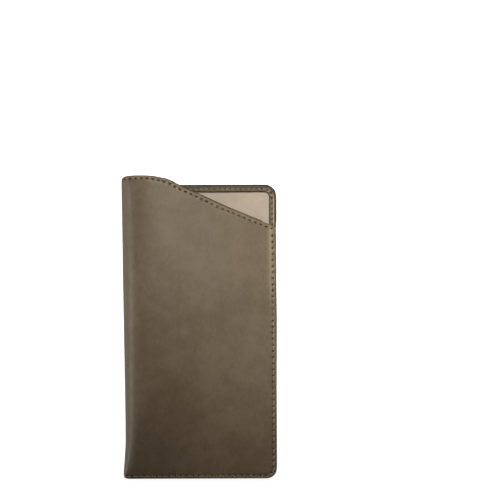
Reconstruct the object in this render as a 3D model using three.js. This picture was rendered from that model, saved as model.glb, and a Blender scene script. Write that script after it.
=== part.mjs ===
// A slip-in leather glasses case that lies on its back: one hide piece folded at the left, sewn at the
// right and along the bottom, lined with napped fabric and open at a slanting mouth at the top.
// Millimetres, +X to the sewn side, +Y towards the mouth, +Z out of the front panel.
import * as THREE from 'three';

// Overall size
const caseWidth = 85.6;
const backHeight = 162.5;
const sideThickness = 14;
const cornerRadius = 6.2;

// Materials, from the outside in
const leatherThickness = 1.2;
const liningThickness = 0.4;
const boardThickness = 0.5;
const facingThickness = 0.7;
const layerGap = 0.2;
const pocketGap = 0.25;

// Slanting mouth of the front panel
const humpRise = 5;
const humpPeakIn = 10;
const humpRun = 19.3;
const humpDrop = 4.1;
const humpPower = 2.6;
const mouthRightDrop = 23.5;
const mouthCornerRadius = 1.8;

// Left fold, which opens from the flat bottom seam upwards: a wide arch above its widest line, the waist,
// and a tight one below it
const foldOpenRun = 130;
const foldWaist = 5;
const foldReach = 22;
const foldFootReach = 5;
const foldUnderReach = 6;
const foldUnderFootReach = 2.2;
const foldFootInset = 0.5;
const foldLean = 1.65;
const foldLeanRun = 22;
const foldLeanHold = 33;
const foldCorner = 1.8;
const frontFallPower = 1.3;

// Seams, whose margins are lifted off the table by the thread beneath them
const sideSeamInset = 2.2;
const bottomSeamInset = 1.6;
const rimSeamInset = 1.9;
const seamWidth = 3.6;
const seamLift = 1;
const seamLiftRun = 8;
const sideStitchPitch = 3.38;
const mouthStitchPitch = 3.17;
const rimStitchPitch = 2.95;
const threadDiameter = 0.55;
const threadGap = 0.15;
const threadWave = 0.15;
const mouthStitchInset = 1.6;
const seamTopGap = 3.4;

// Facings sewn inside the rim and the mouth
const rimFacingWidth = 3.9;
const rimFacingInset = 0.15;
const rimFacingEnd = 0.5;
const rimStartIn = 1.5;
const mouthFacingWidth = 7;
const mouthFacingProud = 0.4;
const mouthFacingStartIn = 1.5;
const mouthFacingEndIn = 8;
const mouthBobbinEndIn = 18;
const mouthSeamStartIn = 3.6;
const mouthSeamEndIn = 3;

// Lining and boards
const liningInset = 1;
const boardSideInset = 16;
const boardFoldInset = 8;
const boardBottomInset = 26;
const boardMouthInset = 18;
const liningRampStart = 1.5;
const liningRampRun = 5;

// Counts and shares of the surface grids
const cornerSteps = 4;
const foldSteps = 16;
const panelShares = [0, 0.04, 0.08, 0.13, 0.2, 0.3, 0.42, 0.56, 0.7, 0.85, 1];
const rowShares = [
  0, 0.01, 0.02, 0.035, 0.05, 0.07, 0.1, 0.14, 0.18, 0.23, 0.28, 0.34, 0.4, 0.47, 0.54, 0.61, 0.69, 0.77,
  0.85, 0.91, 0.95, 0.975, 1,
];
const boardRowShares = [0, 0.08, 0.16, 0.24, 0.32, 0.4, 0.48, 0.56, 0.64, 0.72, 0.8, 0.9, 1];
const boardColumns = 8;
const facingRowLength = 4;
const rimColumns = 3;
const mouthColumns = 4;
const threadSides = 5;
const stepsPerStitch = 2;

// Heights that follow from the layers
const linedThickness = leatherThickness + layerGap + liningThickness;
const seamThickness = 2 * linedThickness + pocketGap;
const boardRoom = boardThickness + layerGap;
const humpTop = backHeight + humpRise;
const humpEnd = humpPeakIn + humpRun;

const leather = new THREE.MeshStandardMaterial({ color: '#655946', roughness: 0.48, metalness: 0 });
const facingLeather = new THREE.MeshStandardMaterial({ color: '#655947', roughness: 0.6, metalness: 0 });
const napped = new THREE.MeshStandardMaterial({ color: '#a09484', roughness: 0.95, metalness: 0 });
const fibreboard = new THREE.MeshStandardMaterial({ color: '#9b8262', roughness: 0.9, metalness: 0 });
const waxedThread = new THREE.MeshStandardMaterial({ color: '#796b59', roughness: 0.6, metalness: 0 });

function mix(start, end, share) {
  return start + (end - start) * share;
}

function ease(value) {
  const share = Math.min(Math.max(value, 0), 1);
  return share * share * (3 - 2 * share);
}

// Leftmost line of the fold: it leans in towards the bottom and flares out again over the flat end.
function foldEdge(y) {
  const fade = y > foldLeanHold ? 1 - (y - foldLeanHold) / (humpTop - foldLeanHold) : 1;
  return mix(foldFootInset, foldLean, ease(y / foldLeanRun)) * fade;
}

// Height of the back panel's underside: flat on the table, lifted along the three sewn edges.
function backHeightOffTable(x, y) {
  const edgeDistance = Math.min(caseWidth - x, y, backHeight - y);
  return seamLift * (1 - ease((edgeDistance - seamWidth) / seamLiftRun));
}

// How far the case has opened at a height above its bottom seam, from 0 to 1.
function foldOpening(y) {
  const left = 1 - Math.min(y / foldOpenRun, 1);
  return 1 - left * left;
}

function foldTopHeight(y) {
  return mix(seamLift + seamThickness, sideThickness, foldOpening(y));
}

function waistHeight(y) {
  return backHeightOffTable(0, y) + mix(seamThickness / 2, foldWaist, foldOpening(y));
}

// Where the fold's upper arch ends and the front panel starts.
function frontStart(y) {
  return foldEdge(y) + mix(foldFootReach, foldReach, foldOpening(y));
}

// Where the fold's lower arch ends and the back panel starts.
function backStart(y) {
  return foldEdge(y) + mix(foldUnderFootReach, foldUnderReach, foldOpening(y));
}

// Point on the fold, at an angle from the waist and a depth inside the outer side.
function foldPoint(angle, y, depth) {
  const upper = angle >= 0;
  const reach = (upper ? frontStart(y) : backStart(y)) - foldEdge(y);
  const waist = waistHeight(y);
  const rise = upper ? foldTopHeight(y) - waist : waist - backHeightOffTable(0, y);
  const x = foldEdge(y) + reach - (reach - depth) * Math.cos(angle);
  return [x, y, waist + (rise - depth) * Math.sin(angle)];
}

function fromFoldEdge(angle, y) {
  return foldPoint(angle, y, 0)[0] - foldEdge(y);
}

// Height of the front panel's outer side: highest beside the fold, falling to the flat seam margins.
function frontHeight(x, y) {
  const seamTop = seamLift + seamThickness;
  const start = frontStart(y);
  const share = Math.min(Math.max((x - start) / (caseWidth - seamWidth - start), 0), 1);
  return seamTop + (foldTopHeight(y) - seamTop) * (1 - Math.pow(share, frontFallPower));
}

// Outer side of the case seen from above, over the fold as well.
function topHeight(x, y) {
  const start = frontStart(y);
  if (x >= start) return frontHeight(x, y);
  const reach = start - foldEdge(y);
  const across = Math.min((start - x) / reach, 1);
  const waist = waistHeight(y);
  return waist + (foldTopHeight(y) - waist) * Math.sqrt(1 - across * across);
}

function mouthHeight(x) {
  if (x < humpEnd) return humpTop - humpDrop * Math.pow(Math.abs(x - humpPeakIn) / humpRun, humpPower);
  const run = caseWidth - humpEnd;
  const along = x - humpEnd;
  const slope = humpPower * humpDrop / humpRun;
  const straightEnd = humpTop - humpDrop - slope * run;
  const bend = (backHeight - mouthRightDrop - straightEnd) / (run * run);
  return humpTop - humpDrop - slope * along + bend * along * along;
}

function cornerDrop(x, radius, edge) {
  const into = Math.max(x - (edge - radius), 0);
  return radius - Math.sqrt(Math.max(radius * radius - into * into, 0));
}

// A closed sheet: a grid of outer points and a grid of inner points, joined by walls along its four edges.
// Seen from outside, columns run to the right and rows run up.
function sheet(name, columns, rows, outerPoint, innerPoint, material) {
  const positions = [];
  const index = [];
  for (const point of [outerPoint, innerPoint]) {
    for (let i = 0; i < columns; i += 1) {
      for (let j = 0; j < rows; j += 1) positions.push(...point(i, j));
    }
  }
  const outer = (i, j) => i * rows + j;
  const inner = (i, j) => columns * rows + i * rows + j;
  const quad = (a, b, c, d) => index.push(a, b, c, a, c, d);
  for (let i = 0; i + 1 < columns; i += 1) {
    for (let j = 0; j + 1 < rows; j += 1) {
      quad(outer(i, j), outer(i + 1, j), outer(i + 1, j + 1), outer(i, j + 1));
      quad(inner(i, j), inner(i, j + 1), inner(i + 1, j + 1), inner(i + 1, j));
    }
    quad(outer(i, 0), inner(i, 0), inner(i + 1, 0), outer(i + 1, 0));
    quad(outer(i, rows - 1), outer(i + 1, rows - 1), inner(i + 1, rows - 1), inner(i, rows - 1));
  }
  for (let j = 0; j + 1 < rows; j += 1) {
    quad(outer(0, j), outer(0, j + 1), inner(0, j + 1), inner(0, j));
    quad(outer(columns - 1, j), inner(columns - 1, j), inner(columns - 1, j + 1), outer(columns - 1, j + 1));
  }
  const geometry = new THREE.BufferGeometry();
  geometry.setAttribute('position', new THREE.Float32BufferAttribute(positions, 3));
  geometry.setIndex(index);
  geometry.computeVertexNormals();
  const mesh = new THREE.Mesh(geometry, material);
  mesh.name = name;
  return mesh;
}

// Distances across a panel, from its start at the fold to the right edge, finer round the corner.
function panelAcross(step, start, inset) {
  const lastPlain = panelShares.length - 1;
  const right = caseWidth - inset;
  const radius = cornerRadius - inset;
  if (step <= lastPlain) return mix(start, right - radius, panelShares[step]);
  return right - radius + radius * Math.sin((Math.PI / 2) * (step - lastPlain) / cornerSteps);
}

// A sheet wrapped round the fold. Its columns run from the back's right edge over the fold to the front's
// right edge, and depthAt gives how far it lies inside the case's outer side.
function wrappedSheet(name, inset, depthAt, thickness, material) {
  const panelSteps = panelShares.length - 1 + cornerSteps;
  const columns = 2 * panelSteps + foldSteps + 1;
  const right = caseWidth - inset;
  const radius = cornerRadius - inset;
  const point = (i, j, side) => {
    const onBack = i <= panelSteps;
    const onFront = i >= panelSteps + foldSteps;
    const turn = onBack ? 0 : onFront ? 1 : (i - panelSteps) / foldSteps;
    const step = onBack ? panelSteps - i : i - panelSteps - foldSteps;
    const angle = Math.PI * turn - Math.PI / 2;
    const inFold = !onBack && !onFront;
    const startAt = onFront ? frontStart : backStart;
    const guess = inFold ? foldPoint(angle, humpTop, 0)[0] : panelAcross(step, startAt(humpTop), inset);
    const top = mix(backHeight, mouthHeight(guess), ease(2 * turn));
    const topRound = onFront ? cornerDrop(guess, mouthCornerRadius, right) : cornerDrop(guess, radius, right);
    const foldRound = (height) => (inFold ? cornerDrop(-fromFoldEdge(angle, height), foldCorner, 0) : 0);
    const bottom = inset + cornerDrop(guess, radius, right) + foldRound(0);
    const y = mix(bottom, top - inset - topRound - foldRound(humpTop), rowShares[j]);
    if (inFold) return foldPoint(angle, y, depthAt(guess, y, turn) + side * thickness);
    const x = panelAcross(step, startAt(y), inset);
    const depth = depthAt(x, y, turn) + side * thickness;
    return [x, y, onFront ? frontHeight(x, y) - depth : backHeightOffTable(x, y) + depth];
  };
  const outerPoint = (i, j) => point(i, j, 0);
  const innerPoint = (i, j) => point(i, j, 1);
  return sheet(name, columns, rowShares.length, outerPoint, innerPoint, material);
}

// The lining lies against the leather at its edges and the fold, and against the boards elsewhere.
function liningDepth(x, y, turn) {
  const edgeDepth = leatherThickness + layerGap;
  if (turn > 0 && turn < 1) return edgeDepth;
  const spare = frontHeight(x, y) - backHeightOffTable(x, y) - seamThickness;
  const top = turn === 1 ? mouthHeight(x) - mouthFacingWidth : backHeight - rimFacingWidth;
  const right = turn === 1 ? caseWidth - seamWidth : caseWidth - rimFacingWidth;
  const fromMouth = ease((top - y - liningRampStart) / liningRampRun);
  const fromSide = ease((right - x - liningRampStart) / liningRampRun);
  const start = turn === 1 ? frontStart(y) : backStart(y);
  const fromFold = ease((x - start - liningRampStart) / liningRampRun);
  const fromSeams = ease(spare / (3 * boardRoom));
  return edgeDepth + boardRoom * fromMouth * fromSide * fromFold * fromSeams;
}

function board(name, isFront) {
  const nearDepth = leatherThickness + layerGap;
  const point = (i, j, side) => {
    const share = isFront ? i / boardColumns : 1 - i / boardColumns;
    const right = caseWidth - boardSideInset;
    const startAt = isFront ? frontStart : backStart;
    const guess = mix(startAt(humpTop) + boardFoldInset, right, share);
    const top = (isFront ? mouthHeight(guess) : backHeight) - boardMouthInset;
    const y = mix(boardBottomInset, top, boardRowShares[j]);
    const x = mix(startAt(y) + boardFoldInset, right, share);
    const depth = nearDepth + side * boardThickness;
    return [x, y, isFront ? frontHeight(x, y) - depth : backHeightOffTable(x, y) + depth];
  };
  const outerPoint = (i, j) => point(i, j, 0);
  const innerPoint = (i, j) => point(i, j, 1);
  return sheet(name, boardColumns + 1, boardRowShares.length, outerPoint, innerPoint, fibreboard);
}

// Line along the back's free edge, from the fold over the top right corner to the mouth's right end.
function rimLine(inset, start, end) {
  const radius = cornerRadius - inset;
  const line = new THREE.Path();
  line.moveTo(start, backHeight - inset);
  line.lineTo(caseWidth - cornerRadius, backHeight - inset);
  line.absarc(caseWidth - cornerRadius, backHeight - cornerRadius, radius, Math.PI / 2, 0, true);
  line.lineTo(caseWidth - inset, end);
  return line;
}

// Line a fixed distance below the mouth's edge.
function mouthLine(inset, start, end) {
  const points = [];
  const count = Math.ceil((end - start) / facingRowLength);
  for (let i = 0; i <= count; i += 1) {
    const x = mix(start, end, i / count);
    const rise = mouthHeight(x + facingRowLength) - mouthHeight(x - facingRowLength);
    const slope = rise / (2 * facingRowLength);
    const length = Math.hypot(1, slope);
    points.push(new THREE.Vector2(x + slope * inset / length, mouthHeight(x) - inset / length));
  }
  return new THREE.SplineCurve(points);
}

// Seam line from the mouth's right end round the bottom right corner to the pinched fold.
function sideSeamLine() {
  const line = new THREE.Path();
  const sideReach = cornerRadius - sideSeamInset;
  const bottomReach = cornerRadius - bottomSeamInset;
  line.moveTo(caseWidth - sideSeamInset, mouthHeight(caseWidth) - seamTopGap);
  line.lineTo(caseWidth - sideSeamInset, cornerRadius);
  line.absellipse(caseWidth - cornerRadius, cornerRadius, sideReach, bottomReach, 0, -Math.PI / 2, true);
  line.lineTo(foldFootInset + foldCorner, bottomSeamInset);
  return line;
}

// A strip of facing whose two long edges lie at offsetsAt to the right of a line, and whose end is cut off
// along lowestAt.
function facing(name, line, offsetsAt, heightAt, lowestAt, columns) {
  const thickness = facingThickness;
  const rows = Math.ceil(line.getLength() / facingRowLength) + 1;
  const point = (i, j, side) => {
    const share = j / (rows - 1);
    const centre = line.getPointAt(share);
    const along = line.getTangentAt(share);
    const [upper, lower] = offsetsAt(centre.x);
    const offset = mix(lower, upper, i / (columns - 1));
    const x = centre.x + along.y * offset;
    const y = Math.max(centre.y - along.x * offset, lowestAt(x));
    return [x, y, heightAt(x, y) + (1 - side) * thickness];
  };
  const outerPoint = (i, j) => point(columns - 1 - i, j, 0);
  const innerPoint = (i, j) => point(columns - 1 - i, j, 1);
  return sheet(name, columns, rows, outerPoint, innerPoint, facingLeather);
}

// Thread that lies along a seam line, low at each needle hole and high between holes.
class StitchCurve extends THREE.Curve {
  constructor(line, stitches, heightAt) {
    super();
    this.line = line;
    this.stitches = stitches;
    this.heightAt = heightAt;
  }

  getUtoTmapping(share) {
    return share;
  }

  getPoint(share) {
    const place = this.line.getPointAt(Math.min(Math.max(share, 0), 1));
    const crest = Math.abs(Math.sin(Math.PI * this.stitches * share));
    return new THREE.Vector3(place.x, place.y, this.heightAt(place.x, place.y, crest));
  }
}

function thread(name, line, pitch, heightAt) {
  const stitches = Math.round(line.getLength() / pitch);
  const section = new THREE.Shape();
  for (let side = 0; side < threadSides; side += 1) {
    const angle = 2 * Math.PI * side / threadSides;
    const x = (threadDiameter / 2) * Math.cos(angle);
    const y = (threadDiameter / 2) * Math.sin(angle);
    if (side === 0) section.moveTo(x, y);
    else section.lineTo(x, y);
  }
  const geometry = new THREE.ExtrudeGeometry(section, {
    steps: stitches * stepsPerStitch,
    extrudePath: new StitchCurve(line, stitches, heightAt),
    bevelEnabled: false,
  });
  const mesh = new THREE.Mesh(geometry, waxedThread);
  mesh.name = name;
  return mesh;
}

const outerDepth = () => 0;
const uncut = () => 0;
const aboveMouth = (x) => mouthHeight(x) + rimFacingEnd;
const facingDepth = linedThickness + layerGap;
const threadRest = threadDiameter / 2 + threadGap;

const rimFacingHeight = (x, y) => backHeightOffTable(x, y) + facingDepth;
const mouthFacingHeight = (x, y) => frontHeight(x, y) - facingDepth - facingThickness;
const rimStart = foldUnderReach + rimStartIn;
const rimEnd = mouthHeight(caseWidth) + rimFacingEnd;
const rimSeamEnd = mouthHeight(caseWidth - rimFacingWidth) + rimFacingEnd;
const mouthStart = foldReach + mouthFacingStartIn;
const mouthEnd = caseWidth - mouthFacingEndIn;

const overFront = (x, y, crest) => topHeight(x, y) + threadRest + threadWave * crest;
const underBack = (x, y, crest) => backHeightOffTable(x, y) - threadRest - threadWave * crest;
const overRim = (x, y, crest) => rimFacingHeight(x, y) + facingThickness + threadRest + threadWave * crest;
const underMouth = (x, y, crest) => mouthFacingHeight(x, y) - threadRest - threadWave * crest;

// The mouth facing comes out past the leather's edge only along the slant, not over the hump.
const mouthProud = (x) => mouthFacingProud * ease((x - humpPeakIn) / humpRun);
const rimOffsets = () => [0, rimFacingWidth - rimFacingInset];
const mouthOffsets = (x) => [-mouthProud(x), mouthFacingWidth];
const rimEdge = rimLine(rimFacingInset, rimStart, rimEnd);
const rimSeam = rimLine(rimSeamInset, rimStart, rimSeamEnd);
const mouthEdge = mouthLine(0, mouthStart, mouthEnd);
const mouthSeam = mouthLine(mouthStitchInset, mouthSeamStartIn, caseWidth - mouthSeamEndIn);
const mouthSeamInside = mouthLine(mouthStitchInset, mouthStart, caseWidth - mouthBobbinEndIn);
const sideSeam = sideSeamLine();

const organizer = new THREE.Group();
organizer.name = 'glasses_case';
organizer.add(
  wrappedSheet('outer_leather', 0, outerDepth, leatherThickness, leather),
  wrappedSheet('pocket_lining', liningInset, liningDepth, liningThickness, napped),
  board('front_stiffener', true),
  board('back_stiffener', false),
  facing('rim_facing', rimEdge, rimOffsets, rimFacingHeight, aboveMouth, rimColumns),
  facing('mouth_facing', mouthEdge, mouthOffsets, mouthFacingHeight, uncut, mouthColumns),
  thread('side_seam_needle_thread', sideSeam, sideStitchPitch, overFront),
  thread('side_seam_bobbin_thread', sideSeam, sideStitchPitch, underBack),
  thread('mouth_seam_needle_thread', mouthSeam, mouthStitchPitch, overFront),
  thread('mouth_seam_bobbin_thread', mouthSeamInside, mouthStitchPitch, underMouth),
  thread('rim_seam_needle_thread', rimSeam, rimStitchPitch, overRim),
  thread('rim_seam_bobbin_thread', rimSeam, rimStitchPitch, underBack),
);
organizer.position.set(-caseWidth / 2, -humpTop / 2, 0);

export default organizer;
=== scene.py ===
"""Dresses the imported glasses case: leather, napped lining, facings and stitching, with studio light."""

import bmesh
import bpy
import numpy as np
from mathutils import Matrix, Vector, kdtree


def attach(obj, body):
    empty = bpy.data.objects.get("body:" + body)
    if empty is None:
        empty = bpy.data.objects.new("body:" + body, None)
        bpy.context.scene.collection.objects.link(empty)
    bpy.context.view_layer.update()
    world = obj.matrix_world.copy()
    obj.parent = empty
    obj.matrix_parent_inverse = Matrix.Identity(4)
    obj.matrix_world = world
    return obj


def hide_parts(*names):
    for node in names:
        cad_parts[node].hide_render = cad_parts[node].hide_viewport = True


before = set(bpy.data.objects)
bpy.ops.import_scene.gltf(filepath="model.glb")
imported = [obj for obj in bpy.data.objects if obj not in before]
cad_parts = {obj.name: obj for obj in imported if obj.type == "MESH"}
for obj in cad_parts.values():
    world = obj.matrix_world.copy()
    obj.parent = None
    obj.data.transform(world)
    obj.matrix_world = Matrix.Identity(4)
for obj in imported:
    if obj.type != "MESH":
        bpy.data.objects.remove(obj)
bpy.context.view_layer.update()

# Metres in a millimetre
MM = 0.001

# Driving sizes in millimetres, and the powers of two curves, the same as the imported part's
CASE_WIDTH = 85.6
BACK_HEIGHT = 162.5
SIDE_THICKNESS = 14
CORNER_RADIUS = 6.2
LEATHER_THICKNESS = 1.2
LINING_THICKNESS = 0.4
BOARD_THICKNESS = 0.5
FACING_THICKNESS = 0.7
LAYER_GAP = 0.2
POCKET_GAP = 0.25
HUMP_RISE = 5
HUMP_PEAK_IN = 10
HUMP_RUN = 19.3
HUMP_DROP = 4.1
HUMP_POWER = 2.6
MOUTH_RIGHT_DROP = 23.5
MOUTH_CORNER_RADIUS = 1.8
FOLD_OPEN_RUN = 130
FOLD_WAIST = 5
FOLD_REACH = 22
FOLD_FOOT_REACH = 5
FOLD_UNDER_REACH = 6
FOLD_UNDER_FOOT_REACH = 2.2
FOLD_FOOT_INSET = 0.5
FOLD_LEAN = 1.65
FOLD_LEAN_RUN = 22
FOLD_LEAN_HOLD = 33
FOLD_CORNER = 1.8
FRONT_FALL_POWER = 1.3
SEAM_WIDTH = 3.6
SEAM_LIFT = 1
SEAM_LIFT_RUN = 8
SIDE_STITCH_PITCH = 3.38
MOUTH_STITCH_PITCH = 3.17
RIM_STITCH_PITCH = 2.95
FACING_START_IN = 1.5
MOUTH_FACING_WIDTH = 7
MOUTH_FACING_PROUD = 0.4
MOUTH_FACING_END_IN = 8
MOUTH_BOBBIN_END_IN = 18
LINING_RAMP_START = 1.5
LINING_RAMP_RUN = 5

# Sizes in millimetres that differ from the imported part's
RIM_FACING_WIDTH = 3.85
RIM_FACING_INSET = 0.8
LINING_INSET = 1.7
SEAM_TOP_GAP = 5
MOUTH_SEAM_START = 1.5
MOUTH_SEAM_END_IN = 2.1
SIDE_HOLE_INSET = 2.3
BOTTOM_HOLE_INSET = 1.95
MOUTH_HOLE_INSET = 1.85
RIM_HOLE_INSET = 2.5
TOP_CORNER_RADIUS = 6.8
THREAD_RADIUS = 0.3

# Sizes in millimetres that only the finish has
MOUTH_RISE = 0.75
MOUTH_RISE_START = 30
MOUTH_RISE_RUN = 13
MOUTH_RISE_END_RUN = 20
RIM_FACING_SIDE_INSET = 0.55
RIM_SPREAD = 0.3
RIM_SPREAD_RUN = 4
PAINT_WIDTH = 0.8
PAINT_FADE = 0.4
# The band beside the side seam, raised and lit by a painted highlight that fades out downwards
PRESSED_IN = 3.4
PRESSED_WIDTH = 1.1
PRESSED_RISE = 0.1
PRESSED_START = 78
PRESSED_RUN = 52
MOUTH_HIGHLIGHT_IN = 1.15
MOUTH_HIGHLIGHT_WIDTH = 0.35
FACING_HIGHLIGHT_WIDTH = 0.5
HIGHLIGHT_START_DOWN = 4
HIGHLIGHT_RUN = 5
SIDE_START_IN = 9
SIDE_RUN = 6
SIDE_THREAD_RISE = 0
SIDE_THREAD_BOW = 0.32
MOUTH_THREAD_RISE = -0.4
RIM_THREAD_RISE = -0.42
THREAD_DIP = 0.8
THREAD_TURN_IN = 0.27
THREAD_TURN = 0.6
THREAD_SLANT = 0.14
GROOVE_DEPTH = 0.16
GROOVE_WIDTH = 0.85
HOLE_DEPTH = 0.6
SLOT_HALF_WIDTH = 0.47
SIDE_SLOT_HALF = 0.62
MOUTH_SLOT_HALF = 0.82
RIM_SLOT_HALF = 0.6
EDGE_ROUND = 0.4
CLOSED_EDGE_GAP = 0.05
CLOSED_EDGE_WIDTH = 1.1
SURFACE_WAVE = 0.07
NAP_WAVE = 0.03
RIM_WAVE = 0.03
RIM_THICK_EDGE = 1.1
MOUTH_THICK_EDGE = 1.3

# Grids and lines: distances in millimetres between points, and counts
LINE_STEP = 0.2
PANEL_STEP = 2.6
BAND_REACH = 2.3
CORNER_RINGS = (4.6, 3.1, 1.8, 1.2, 0.8, 0.3, 0)
EDGE_RINGS = (0, 0.3, 0.8, 1.2, 3.0)
SLOPE_STEP = 0.05
BAND_CUTS = 8
EDGE_STEPS = 5
FOLD_COLUMNS = 26
THREAD_STEPS = 16
THREAD_SIDES = 12
THREAD_LOBES = 3
ARC_POINTS = 24
MOUTH_LINE_POINTS = 200
RIM_STRIP_ROWS = 64
MOUTH_STRIP_ROWS = 60
LEAST_ROWS = 3
QUAD_CORNERS = 4
GRID_DECIMALS = 5

# Angles: a quarter turn in degrees, places round the fold in radians, and the twist of the thread in radians
# a millimetre
QUARTER_TURN = 90
FOLD_SHADE_ANGLE = 0.22
FOLD_HIGHLIGHT_ANGLE = 0.4
FOLD_HIGHLIGHT_WIDTH = 0.14
THREAD_TWIST = 1.3

# Shares, strengths and powers that shape the sheets and weigh their marks
FOLD_SHADE_STRENGTH = 1.5
FRONT_PAINT_SHARE = 0.7
FOLD_HIGHLIGHT_SHARE = 0.22
FRONT_EDGE_SHARE = 0.8
EDGE_START_SHARE = 0.6
RIM_TOP_HOLE_SHARE = 0.35
THREAD_LOBE_SHARE = 0.16
CORNER_SHARE = 0.92
FOLD_MIDDLE_SHARE = 0.5
RIM_STRIP_SHARES = (0, 0.18, 0.7, 0.88, 1)
MOUTH_STRIP_SHARES = (0, 0.08, 0.16, 0.4, 0.7, 0.93, 1)
SLOT_END_POWER = 4
BOARD_SPARE_RATIO = 3

# Slow waves of the surfaces: radians a millimetre across and along, seed factors and shares, then the shift,
# seeds and scales that set the surfaces apart
WAVE_TURNS = ((0.11, 0.083), (0.052, 0.061), (0.21, 0.157))
WAVE_SEEDS = (1.7, 2.3, 0.9)
WAVE_SHARES = (0.5, 0.35, 0.15)
FRONT_WAVE_SHIFT = 90
LEATHER_SEED = 1.3
NAP_WAVE_SCALES = (2.1, 1.9)
NAP_SEED = 4.2
RIM_WAVE_SCALE = 3
RIM_SEED = 0.4

# Noise in the materials: size in millimetres, detail, roughness and, where it is stretched, its scales
WARP_NOISE = (6, 2, 0.55)
PORE_NOISE = (0.28, 2, 0.6)
MOTTLE_NOISE = (9, 4, 0.6)
BROAD_NOISE = (42, 2, 0.5)
STREAK_NOISE = (1.5, 3, 0.6, (1, 0.6, 1))
FINE_NOISE = (0.16, 2, 0.55)
NAP_FIBRE_NOISE = (0.22, 3, 0.7, (1, 0.45, 1))
NAP_BRUSHED_NOISE = (3.5, 4, 0.6, (1, 0.6, 1))
NAP_BROAD_NOISE = (16, 2, 0.5)
THREAD_FIBRE_NOISE = (0.09, 2, 0.6, (1, 1, 0.4))
THREAD_TONE_NOISE = (2.2, 2, 0.55)
BOARD_NOISE = (0.5, 4, 0.7, (1, 0.3, 1))
FLOOR_NOISE = (40, 2, 0.55)

# Ramps in the materials: where they start and end and, where it isn't 0 and 1, what they give there
CREASE_RAMP = (0, 0.16)
PORE_RAMP = (0.56, 0.7)
TONE_RAMP = (0.38, 0.62)
HOLE_RAMP = (0.12, 0.75)
EDGE_RAMP = (0.55, 0.95, 0, 0.9)
WARP_RAMP = (0.2, 0.8, 0.6, 1)
UNEVENNESS_RAMP = (0, 0.6)
NAP_TONE_RAMP = (0.36, 0.66)
NAP_FIBRE_RAMP = (0.42, 0.62, 0.16, 0)
THREAD_TONE_RAMP = (0.35, 0.65)
THREAD_FIBRE_RAMP = (0.4, 0.6, 0.25, 0)
BOARD_RAMP = (0.35, 0.65)
FLOOR_RAMP = (0.3, 0.7)

# Shares of the patterns in a material's tone, height and roughness
MOTTLE_SHARE = 0.4
BROAD_SHARE = 0.3
STREAK_SHARE = 0.3
CREASE_SHADE_SHARE = 0.22
PORE_SHADE_SHARE = 0.12
FINE_SHARE = 0.35
PORE_SHARE = 0.4
EDGE_FLAT_SHARE = 0.8
EDGE_DULL_SHARE = 0.9
MOTTLE_ROUGHNESS_SHARE = 0.6
CREASE_SMOOTH_SHARE = 0.2
RIM_ROUGHNESS_SHARE = 0.3
NAP_BRUSHED_SHARE = 0.55
NAP_BROAD_SHARE = 0.45
NAP_HEIGHT_SHARE = 0.5

# Roughness and specular shares, and the bumps' depth in millimetres and strength
ROUGHNESS_SHARE = 0.5
SPECULAR_SHARE = 0.5
NAP_SHARES = (0.95, 0.2)
BOARD_SHARES = (0.9, 0.3)
FLOOR_SHARES = (0.9, 0)
NAP_SHEEN_SHARE = 0.25
NAP_SHEEN_ROUGHNESS_SHARE = 0.5
LEATHER_BUMP_STRENGTH = 0.55
NAP_BUMP = (0.12, 0.7)
THREAD_BUMP = (0.05, 0.5)
BOARD_BUMP = (0.1, 0.5)
FLOOR_BUMP = (0.05, 0.1)

# Colours: red, green and blue from 0 to 255, and linear ones with alpha from 0 to 1
# Painted shade inside the needle holes
HOLE_SHADE_COLOUR = (30, 20, 12)
NAP_DARK = (162, 148, 131)
NAP_LIGHT = (170, 156, 138)
NAP_FIBRE = (136, 122, 104)
THREAD_DARK = (126, 110, 87)
THREAD_LIGHT = (142, 126, 101)
THREAD_FIBRE = (84, 70, 54)
BOARD_DARK = (136, 113, 84)
BOARD_LIGHT = (167, 143, 110)
FLOOR_DARK = (231, 231, 231)
FLOOR_LIGHT = (233, 233, 233)
SPECULAR_TINT = (1, 0.93, 0.76, 1)
WHITE = (1, 1, 1, 1)
COLOUR_MOST = 255
LINEAR_END = 0.04045
LINEAR_SLOPE = 12.92
CURVE_OFFSET = 0.055
CURVE_POWER = 2.4

# The two leathers: colours, shares of them, grain size and bump depth in millimetres, and roughness
SATIN_LEATHER = {
    "dark": (93, 79, 60),
    "light": (107, 92, 73),
    # Dark colour: the walls' edge paint, and painted shade in the grain's creases and pores
    "edge_paint_and_painted_light": (44, 36, 27),
    # Colour of the border's edge paint, and of the painted shade along the fold's outer line
    "rim": (44, 36, 27),
    "rim_share": 0.85,
    # Painted highlight colour for the bands beside the side seam and the mouth, and along the fold's ridge
    "highlight_and_side_tone": (156, 139, 113),
    "highlight_and_side_tone_share": 0.5,
    "grain_size": 0.55,
    "bump_depth": 0.05,
    "roughness_shares": (0.3, 0.36),
    "highlight_and_side_tone_roughness_share": 0.25,
}
FACING_LEATHER = {
    "dark": (66, 56, 43),
    "light": (86, 73, 57),
    # Dark colour: the walls' edge paint, and painted shade in the grain's creases and pores
    "edge_paint_and_painted_light": (42, 35, 27),
    # Painted highlight colour along the facing's outer edge
    "rim": (172, 158, 134),
    "rim_share": 0.95,
    # Lighter tone of the facing down the sewn side
    "highlight_and_side_tone": (118, 104, 84),
    "highlight_and_side_tone_share": 0.4,
    "grain_size": 0.95,
    "bump_depth": 0.14,
    "roughness_shares": (0.55, 0.68),
    "highlight_and_side_tone_roughness_share": 0,
}

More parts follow.
